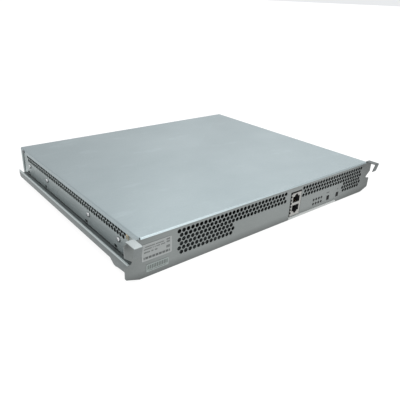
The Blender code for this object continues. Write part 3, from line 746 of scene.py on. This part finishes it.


# The front shield's tinned face, with painted shade in the gap above it and in the notches down its left
# side, and a pinhole painted as a dark dot.
tin_face, start, where, (x, _, z) = new_finish("tin_face", 0.8, 0.35, (0.45, 0.45, 0.43))
above, beside = shield_painted_gap(start, where, x, z)
pinhole_place = (44.2, FRONT / MM, 7.8)
pinhole = start.node("VectorMath", {"operation": "DISTANCE"}, {0: where, 1: pinhole_place}, out=1) < 0.75
smudge = start.noise(where, 0.35, detail=4)
painted_gap_shade = start.math("MAXIMUM", start.math("MAXIMUM", above, beside), pinhole)
tinned = start.mixed(smudge, (0.30, 0.30, 0.285), (0.50, 0.50, 0.475))
feed(tin_face, {"Base Color": start.mixed(painted_gap_shade * 0.93, tinned, (0.02, 0.02, 0.02)),
                "Roughness": 0.3 + 0.25 * smudge, "Height": (0.01, smudge)})
for place, inward, finish in (("front", 1, tin_face), ("rear", -1, bright_tin)):
    softened(f"{place}_port_shield", "case", "socket_shield", finish, 0.18, segments=3)
    softened(f"{place}_port_insert", "case", "black_plastic", black_moulding, 0.12)
    low, high = span(f"{place}_port_shield")
    face_y = low.y if inward > 0 else high.y
    middle_x = (low.x + high.x) / 2
    combs = joined(contact_comb(middle_x, low.z + 17.3, True, face_y, inward),
                   contact_comb(middle_x, low.z + 12.5, False, face_y, inward))
    settle(combs, f"{place}_port_contacts", "case", "spring_brass", contact_gold)

# The socket bracket: a tongue of brighter sheet under the front sockets, whose folded lip closes the
# notch in the panel's foot.
tongue_steel = sheet_steel("tongue_steel", (0.40, 0.42, 0.41), (0.52, 0.54, 0.53), (0.08, 1, 1), 0.5, 0.4)
softened("port_bracket", "case", "galvanised_sheet", tongue_steel, 0.25)

# The buttons: black moulded caps with a rounded rim, each in front of its tact switch, and the two
# plain printed marks above them, a dash and a dot.


def bar(x0, y0, z0, x1, y1, z1, width=0.3, segments=2):
    """Block between two corners with rounded edges."""
    bpy.ops.object.select_all(action="DESELECT")
    bpy.ops.mesh.primitive_cube_add(size=1, location=((x0 + x1) / 2, (y0 + y1) / 2, (z0 + z1) / 2),
                                    scale=(abs(x1 - x0), abs(y1 - y0), abs(z1 - z0)))
    made = bpy.context.object
    bake(made)
    soften(made, width, segments)
    return made


def can(axis, place, radius, length, sides=20, width=0.4):
    """Round post with rounded rims: place is the middle of its foot, and it grows along the axis."""
    along = Vector([float(axis == name) for name in "XYZ"])
    bpy.ops.object.select_all(action="DESELECT")
    bpy.ops.mesh.primitive_cylinder_add(vertices=sides, radius=radius, depth=abs(length),
                                        rotation=TURN_TO[axis], location=Vector(place) + along * length / 2)
    made = bpy.context.object
    bake(made)
    soften(made, width, 2, angle=50)
    return made


def ring(axis, place, radius, thickness, sides=32):
    """Ring of round wire about the axis."""
    bpy.ops.object.select_all(action="DESELECT")
    bpy.ops.mesh.primitive_torus_add(major_radius=radius, minor_radius=thickness, major_segments=sides,
                                     minor_segments=8, location=place, rotation=TURN_TO[axis])
    made = bpy.context.object
    bake(made)
    return made


cap_black = moulding("cap_black", (0.006, 0.006, 0.007), 0.6, gloss=0.15)
switch_grey = moulding("switch_grey", (0.05, 0.05, 0.055), 0.45)
for word in ("power", "reset"):
    low, high = span(f"{word}_button")
    cap = bar(low.x - 0.2, -0.05, low.z - 0.2, high.x + 0.2, high.y, high.z + 0.2, 0.5, 3)
    settle(cap, f"{word}_button_cap", f"{word}_button", "black_plastic", cap_black, f"{word}_button")
    softened(f"{word}_switch", "case", "grey_plastic", switch_grey, 0.3)
mark_ink = moulding("mark_ink", (0.03, 0.032, 0.033), 0.55)
mark_z = power_high.z + 4.7
dash = bar(power_low.x - 1.4, -0.06, mark_z - 0.5, power_high.x - 1.0, 0.04, mark_z + 0.5, 0.02, 1)
dot = can("Y", (reset_low.x + 2.0, 0.04, mark_z), 0.75, -0.1, 14, 0.02)
settle(joined(dash, dot), "panel_marks", "case", "label_film", mark_ink)

# The front board: a narrow green laminate behind the sockets with the lights on it. A smoky light pipe
# leads each light to its window.
solder_mask, start, where, _ = new_finish("solder_mask", 0.0, 0.4, (0.02, 0.12, 0.05))
patch = start.noise(where, 0.2, detail=3)
lanes = start.noise(where, 0.5, (0.12, 1, 1), detail=1)
crossing = start.noise(where, 0.5, (1, 0.12, 1), detail=1)
traces = start.math("MAXIMUM", lanes.near(0.5, 0.035), crossing.near(0.5, 0.03))
green = start.mixed(patch, (0.010, 0.075, 0.033), (0.022, 0.13, 0.06))
feed(solder_mask, {"Base Color": start.mixed(traces * 0.5, green, (0.045, 0.22, 0.10)),
                   "Roughness": 0.32 + 0.2 * patch, "Height": (0.03, traces)})
smoky_pipe = moulding("smoky_pipe", (0.006, 0.007, 0.007), 0.35, gloss=0.2)
chip_black = moulding("chip_black", (0.014, 0.014, 0.015), 0.5)
softened("front_board", "case", "board_laminate", solder_mask, 0.1)
pipe = merged_copy("light_pipe")
soften(pipe, 0.12)
lenses = [in_a_row(can("Y", (LIGHT_X, 0.05, z), 1.65, 3.0, 14, 0.2), 4, x=LIGHT_STEP) for z in LIGHT_ROWS]
settle(joined(pipe, *lenses), "light_pipe_lenses", "case", "light_pipe_plastic", smoky_pipe, "light_pipe")
chips = joined(bar(52, 12, 5.1, 62, 22, 6.4), in_a_row(bar(92, 20, 5.1, 94, 21.2, 5.8, 0.1, 1), 4, x=6.5))
settle(chips, "front_board_chips", "case", "black_plastic", chip_black)

# The fans: glass-filled frames with a round duct, four corner holes and a back plate that carries the
# motor, and rotors with a rounded hub and seven twisted blades.
fan_black = moulding("fan_black", (0.016, 0.016, 0.017), 0.4)
rotor_grey = moulding("rotor_grey", (0.045, 0.045, 0.05), 0.35)


def twisted_rotor(x, z, y0, y1, hub, tip):
    """Hub and seven blades about an axis along y."""
    middle = (y0 + y1) / 2
    core = can("Y", (x, y0, z), hub, y1 - y0, 36, 1.2)
    blades = []
    for number in range(7):
        blade = bar(hub - 0.6, y0 + 1.4 - middle, -0.5, tip, y1 - 1.4 - middle, 0.5, 0.3, 1)
        bpy.ops.object.mode_set(mode="EDIT")
        bpy.ops.mesh.select_all(action="SELECT")
        bpy.ops.mesh.subdivide(number_cuts=5)
        bpy.ops.object.mode_set(mode="OBJECT")
        apply_modifier(blade, "SIMPLE_DEFORM", deform_method="TWIST", deform_axis="Y", angle=math.radians(46))
        blade.rotation_euler = (0, 2 * math.pi * number / 7, 0)
        blade.location = (x, middle, z)
        bake(blade)
        blades.append(blade)
    return joined(core, *blades)


def fan_frame(low, high):
    """Square duct with four corner holes, and a back plate whose four arms carry the motor's seat. The two
    stand a hair apart, so that each is a closed shell of its own."""
    middle = (low + high) / 2
    half = (high.x - low.x) / 2
    duct, out, seam = half - 1.5, half - 3.4, high.y - 2
    outline = oblong(low.x, low.z, high.x, high.z, 2.5)
    corners = [(middle.x + side * out, middle.z + rise * out) for side in (-1, 1) for rise in (-1, 1)]
    tube = blanked("Y", seam - 0.02 - low.y, sketch("Y", outline, low.y),
                   punched_row("Y", middle.x, middle.z, low.y, 1, radius=duct, sides=48),
                   *[punched_row("Y", x, z, low.y, 1, radius=1.6) for x, z in corners])
    windows = [sketch("Y", arc(middle.x, middle.z, duct - 0.2, turn + 8, turn + 82, 10)
                      + arc(middle.x, middle.z, 10.5, turn + 82, turn + 8, 10), seam)
               for turn in (0, 90, 180, 270)]
    plate = blanked("Y", high.y - seam, sketch("Y", outline, seam), *windows,
                    punched_row("Y", middle.x, middle.z, seam, 1, radius=2.0),
                    *[punched_row("Y", x, z, seam, 1, radius=1.6) for x, z in corners])
    return joined(tube, plate)


for word in ("fan_1", "fan_2", "fan_3", "psu_fan"):
    duct = fan_frame(*span(f"{word}_frame"))
    settle(duct, f"{word}_duct", "case", "black_plastic", fan_black, f"{word}_frame")
    low, high = span(f"{word}_rotor")
    half = (high.x - low.x) / 2
    centre = (low + high) / 2
    rotor = twisted_rotor(centre.x, centre.z, low.y, high.y - 2.4, 9.2, half - 0.6)
    axle = can("Y", (centre.x, high.y - 3.0, centre.z), 1.4, 2.8, 14, 0.2)
    settle(joined(rotor, axle), f"{word}_impeller", word, "grey_plastic", rotor_grey, f"{word}_rotor")

# The main board: a green laminate on four brass standoffs, held by pan-head screws, that carries chips,
# can capacitors, chokes, nylon headers with gold pins, and a coin cell in its holder.
deck = span("main_board")[1].z
softened("main_board", "case", "board_laminate", solder_mask, 0.12)
for number in range(1, 5):
    softened(f"standoff_{number}", "case", "spring_brass", spring_brass, 0.25)
    low, high = span(f"standoff_{number}")
    middle = (low + high) / 2
    screw = cross_head_screw(2.5, 1.3, 1.1, 1.2)
    place_screw(screw, (middle.x, middle.y, deck + 0.02), (0, 0, 1), f"board_screw_{number}", "case")
    bpy.data.objects.remove(screw)
chips = [bar(-46, 250, deck, -22, 274, deck + 2.0, 0.25), bar(-122, 246, deck, -107, 261, deck + 1.6, 0.25),
         in_a_row(bar(-150, 190, deck, -141, 199, deck + 1.5, 0.2), 3, y=18),
         in_a_row(bar(-90, 120, deck, -84, 130, deck + 1.2, 0.2), 5, x=14),
         in_a_row(bar(30, 190, deck, 42, 201, deck + 1.5, 0.2), 3, y=19)]
settle(joined(*chips), "board_chips", "case", "black_plastic", chip_black)
tiny = [in_a_row(in_a_row(bar(x, y, deck, x + 1.7, y + 0.9, deck + 0.7, 0.1, 1), 7, x=3.4), rows, y=3.1)
        for x, y, rows in ((-128, 228, 3), (-12, 232, 4), (-60, 104, 2), (30, 172, 3), (-155, 140, 4))]
settle(joined(*tiny), "board_passives", "case", "grey_plastic", switch_grey)
cans = [in_a_row(can("Z", (-106, 158, deck), 4.0, 11.5, 24, 0.6), 5, y=16),
        in_a_row(can("Z", (-84, 141, deck), 3.2, 9.0, 22, 0.5), 5, x=13),
        can("Z", (36, 160, deck), 4.0, 12.0, 24, 0.6), can("Z", (8, 260, deck), 4.0, 10.0, 24, 0.6)]
can_sleeve, start, where, (_, _, z) = new_finish("can_sleeve", 0.3, 0.4, (0.02, 0.025, 0.06))
mottle = start.noise(where, 0.6, detail=2)
crown = start.math("MAXIMUM", z > deck + 11.0, (z > deck + 8.5) * (z < deck + 9.4))
vinyl = start.mixed(mottle, (0.012, 0.014, 0.035), (0.03, 0.034, 0.08))
feed(can_sleeve, {"Base Color": start.mixed(crown, vinyl, (0.55, 0.56, 0.57)),
                  "Metallic": crown * 0.9, "Roughness": 0.32 + 0.2 * mottle})
settle(joined(*cans), "board_capacitors", "case", "bare_aluminium", can_sleeve)
chokes = in_a_row(bar(-132, 160, deck, -121, 171, deck + 7.0, 0.8, 3), 4, y=18)
settle(chokes, "board_chokes", "case", "grey_plastic", switch_grey)
nylon = moulding("nylon", (0.52, 0.49, 0.41), 0.4)


def header(x0, y0, x1, y1, tall, wall=0.9):
    """Open-topped nylon box for a plug."""
    box_piece = bar(x0, y0, deck, x1, y1, deck + tall, 0.25)
    cut_by(box_piece, bar(x0 + wall, y0 + wall, deck + 1.5, x1 - wall, y1 - wall, deck + tall + 2, 0.05, 1))
    return box_piece


headers = [header(x - 4.5, 84, x + 4.5, 89, 6.5) for x in (-112, -68, -24)]
headers += [header(-4, 92, 14, 98.5, 8), header(-4, 104, 14, 110.5, 8), header(30, 92, 44, 98, 7)]
settle(joined(*headers), "board_headers", "case", "light_pipe_plastic", nylon)
pins = [in_a_row(can("Z", (x - 2.5, 86.5, deck + 1.2), 0.4, 4.6, 8, 0.1), 3, x=2.5) for x in (-112, -68, -24)]
pins += [in_a_row(can("Z", (-1.6, y, deck + 1.2), 0.4, 5.5, 8, 0.1), 6, x=2.6) for y in (95.2, 107.2)]
settle(joined(*pins), "header_pins", "case", "spring_brass", contact_gold)
seat = Vector((-140, 110, deck))
cell = joined(can("Z", seat + Vector((0, 0, 1.4)), 10, 3.0, 40, 0.5),
              can("Z", seat + Vector((0, 0, 4.2)), 8.6, 0.5, 40, 0.15))
bright_can = brushed_metal("bright_can", (0.55, 0.56, 0.57), (0.78, 0.79, 0.80), 0.28, (1, 1, 1), 1.2)
settle(cell, "coin_cell", "case", "bare_aluminium", bright_can)
holder = can("Z", seat, 12, 3.4, 40, 0.5)
cut_by(holder, can("Z", seat + Vector((0, 0, 1.2)), 10.3, 6, 40, 0.05))
settle(holder, "coin_cell_holder", "case", "black_plastic", chip_black)

# The processor under its heatsink: a comb of fourteen extruded aluminium fins, sawn to length.
bare_aluminium = brushed_metal("bare_aluminium", (0.42, 0.43, 0.44), (0.68, 0.69, 0.70), 0.35, (1, 0.06, 1),
                               1.4)
softened("processor", "case", "black_plastic", chip_black, 0.2)
softened("heatsink", "case", "bare_aluminium", bare_aluminium, 0.2)

# The memory: an upright module in its slot, with eight chips on a side and two latches.
softened("memory_module", "case", "board_laminate", solder_mask, 0.1)
softened("memory_slot", "case", "black_plastic", chip_black, 0.2)
low, high = span("memory_module")
faces = [in_a_row(bar(x0, low.y + 6, 19, x1, low.y + 17, 33, 0.12, 1), 8, y=15.4)
         for x0, x1 in ((high.x, high.x + 0.9), (low.x - 0.9, low.x))]
settle(joined(*faces), "memory_chips", "case", "black_plastic", chip_black)
slot_low, slot_high = span("memory_slot")
latches = [bar(slot_low.x + 0.8, slot_low.y - 3.2, deck, slot_high.x - 0.8, slot_low.y - 0.2, 22, 0.5),
           bar(slot_low.x + 0.8, slot_high.y + 0.2, deck, slot_high.x - 0.8, slot_high.y + 3.2, 22, 0.5)]
settle(joined(*latches), "memory_latches", "case", "light_pipe_plastic", nylon)

# The power supply: a folded steel case with slots at its inner end, its board, and a wire guard over
# the fan.
supply_steel = sheet_steel("supply_steel", (0.26, 0.28, 0.28), (0.34, 0.36, 0.36), (1, 0.08, 1), 0.6, 0.4)
softened("psu_case", "case", "galvanised_sheet", supply_steel, 0.25)
softened("psu_board", "case", "board_laminate", solder_mask, 0.15)
supply_low, supply_high = span("psu_case")
fan_low, fan_high = span("psu_fan_frame")
hub = Vector(((fan_low.x + fan_high.x) / 2, supply_high.y + 0.75, (fan_low.z + fan_high.z) / 2))
guard = [ring("Y", hub, radius, 0.55) for radius in (4.5, 8.2, 11.9, 15.6)]
for turn in (45, 135):
    spoke = can("X", (-18.8, 0, 0), 0.55, 37.6, 10, 0.2)
    spoke.rotation_euler = (0, math.radians(turn), 0)
    spoke.location = hub + Vector((0, -0.5, 0))
    bake(spoke)
    guard.append(spoke)
settle(joined(*guard), "psu_fan_guard", "case", "screw_zinc", screw_zinc)

# The power inlet and its rocker switch: one black moulding with three plated blades, and a key with a
# plain line and ring moulded in white.
inlet_black = moulding("inlet_black", (0.014, 0.014, 0.015), 0.42)
softened("power_inlet", "case", "black_plastic", inlet_black, 0.35)
inlet_low, inlet_high = span("power_inlet")
inlet_z = (inlet_low.z + inlet_high.z) / 2
blades = []
for dx, dz in ((0, 3), (-7, -1), (7, -1)):
    x, z = 94.0 + dx, inlet_z + dz
    blades.append(bar(x - 1.12, inlet_high.y - 16, z - 2.12, x + 1.12, inlet_high.y - 3, z + 2.12, 0.4))
settle(joined(*blades), "inlet_blades", "case", "screw_zinc", screw_zinc)
rocker_low, rocker_high = span("rocker_key")
rocker_x = (rocker_low.x + rocker_high.x) / 2
line_z, ring_z = inlet_z + 4.6, inlet_z - 4.6
rocker_black, start, where, (x, y, z) = new_finish("rocker_black", 0.0, 0.4, (0.02, 0.02, 0.022))
line = x.near(rocker_x, 0.3) * z.near(line_z, 1.7)
away = start.math("SQRT", (x - rocker_x) * (x - rocker_x) + (z - ring_z) * (z - ring_z))
marks = start.math("MAXIMUM", line, away.near(1.6, 0.25)) * (y > 290 + FRONT / MM)
texture = start.noise(where, 3.0, detail=3)
key_black = start.mixed(texture, (0.014, 0.014, 0.015), (0.03, 0.03, 0.032))
feed(rocker_black, {"Base Color": start.mixed(marks, key_black, (0.75, 0.75, 0.75)),
                    "Roughness": 0.36 + 0.12 * texture})
softened("rocker_key", "rocker", "grey_plastic", rocker_black, 0.4, segments=3)

# The harness: a bundle of sleeved wires from the power supply to a nylon plug on the main board.
sleeve, start, where, _ = new_finish("wire_sleeve", 0.0, 0.5, (0.015, 0.015, 0.016))
weave = start.noise(where, 1.2, (1, 1, 1), detail=2)
feed(sleeve, {"Base Color": start.mixed(weave, (0.01, 0.01, 0.011), (0.05, 0.05, 0.052)),
              "Height": (0.1, weave)})
harness = merged_copy("power_harness")
apply_modifier(harness, "SUBSURF", levels=1)
settle(harness, "power_harness_bundle", "case", "black_plastic", sleeve, "power_harness")
harness_low = span("power_harness")[0]
plug = bar(harness_low.x - 3.5, 143.5, deck, harness_low.x + 7.5, 157, harness_low.z - 0.1, 0.2)
settle(plug, "power_plug", "case", "light_pipe_plastic", nylon)

# The disk drive in its tray: a cast body with a raised rim and a spindle cap, a printed label and four
# screws, and a black connector at its rear.
softened("drive_bracket", "case", "galvanised_sheet", chassis_steel, 0.2)
drive_low, drive_high = span("disk_drive")
drive = merged_copy("disk_drive")
well = bar(drive_low.x + 3, drive_low.y + 3, drive_high.z - 0.8, drive_high.x - 3, drive_high.y - 12,
           drive_high.z + 2, 0.3)
cut_by(drive, well)
soften(drive, 0.6, segments=3)
cast = brushed_metal("cast_aluminium", (0.22, 0.225, 0.23), (0.36, 0.365, 0.37), 0.45, (1, 1, 1), 0.9)
settle(drive, "disk_drive_casting", "case", "bare_aluminium", cast, "disk_drive")
spindle = Vector(((drive_low.x + drive_high.x) / 2, drive_low.y + 34, drive_high.z - 0.8))
cap = joined(can("Z", spindle, 12, 0.5, 40, 0.15),
             can("Z", spindle + Vector((0, 0, 0.5)), 5, 0.3, 30, 0.08))
settle(cap, "drive_spindle_cap", "case", "bare_aluminium", bright_can)
drive_print = printed_film("drive_film", (0.55, 0.56, 0.55), (0.05, 0.05, 0.05), [], (0, 0, 0, 0), 0)
label = bar(drive_low.x + 10, drive_low.y + 50, drive_high.z - 0.8, drive_high.x - 10, drive_low.y + 82,
            drive_high.z - 0.65, 0.05, 1)
settle(label, "drive_label", "case", "label_film", drive_print)
for number, (x, y) in enumerate(((4.5, 4.5), (-4.5, 4.5), (4.5, -5), (-4.5, -5)), 1):
    screw = cross_head_screw(1.4, 0.7, 0.7, 0.6)
    place = (x + (drive_low.x if x > 0 else drive_high.x), y + (drive_low.y if y > 0 else drive_high.y),
             drive_high.z - (0.75 if y > 0 else 0.0))
    place_screw(screw, place, (0, 0, 1), f"drive_screw_{number}", "case")
    bpy.data.objects.remove(screw)
plug = bar(drive_low.x + 8, drive_high.y - 0.5, 4.2, drive_high.x - 24, drive_high.y + 1.7, 10, 0.3)
settle(plug, "drive_connector", "case", "black_plastic", chip_black)

# The rear panel: a punched sheet with a flange at each side and the openings of the supply, the
# sockets and the serial connector, a row of air slots and a plain label.
rear_low, rear_high = span("rear_panel")
socket_low, socket_high = span("rear_port_shield")
serial_low, serial_high = span("serial_port")
openings = [oblong(supply_low.x + 3, supply_low.z + 3, supply_high.x - 3, supply_high.z - 3, 1.5),
            oblong(socket_low.x - 0.5, socket_low.z - 0.5, socket_high.x + 0.5, socket_high.z + 0.7, 0.6),
            oblong(serial_low.x - 1, serial_low.z - 0.5, serial_high.x + 1, serial_high.z + 0.5, 0.8)]
openings += [oblong(x - 1.6, 14, x + 1.6, 34, 1.5) for x in range(-40, 60, 7)]
holes = [sketch("Y", opening, rear_high.y) for opening in openings]
rear_edge = sketch("Y", oblong(-wall_x, rear_low.z, wall_x, rear_high.z, 0.6), rear_high.y)
rear = blanked("Y", -SHEET, rear_edge, *holes)
flanges = [bar(side * wall_x, rear_low.y, 1.5, side * rear_high.x, rear_high.y, top - FLANGE - 0.3, 0.25)
           for side in (-1, 1)]
settle(joined(rear, *flanges), "rear_sheet", "case", "galvanised_sheet", chassis_steel, "rear_panel")
rating = bar(-32, rear_high.y - 0.02, 5, 30, rear_high.y + 0.12, 12, 0.03, 1)
rear_film = printed_film("rear_film", (0.45, 0.46, 0.455), (0.05, 0.05, 0.05), [
    (10.2, 0.55, -30, 8, 1.2, 0.7, 0.15), (8.3, 0.55, -30, 2, 1.2, 0.7, 0.15),
    (6.6, 0.5, -30, 12, 1.2, 0.7, 0.15), (8.5, 2.2, 14, 28, 1.5, 0.6, 0.1)],
    (-32, 5, 30, 12), 0.6)
settle(rating, "rear_label", "case", "label_film", rear_film)

# The serial socket: a tinned D-shaped shell with nine gold pins and two hexagonal jack nuts.
softened("serial_port", "case", "socket_shield", bright_tin, 0.3, segments=3)
serial_x = (serial_low.x + serial_high.x) / 2
serial_z = (serial_low.z + serial_high.z) / 2
PIN_STEP = 2.74
pins = []
for count, rise in ((5, -1.4), (4, 1.4)):
    foot = (serial_x - PIN_STEP * (count - 1) / 2, serial_high.y - 5.5, serial_z + rise)
    pins.append(in_a_row(can("Y", foot, 0.5, 4.5, 10, 0.2), count, x=PIN_STEP))
settle(joined(*pins), "serial_pins", "case", "spring_brass", contact_gold)
nuts = [can("Y", (serial_x + dx, serial_high.y - 0.2, serial_z), 2.5, 0.9, 6, 0.15) for dx in (-12.5, 12.5)]
settle(joined(*nuts), "serial_jack_nuts", "case", "screw_zinc", screw_zinc)
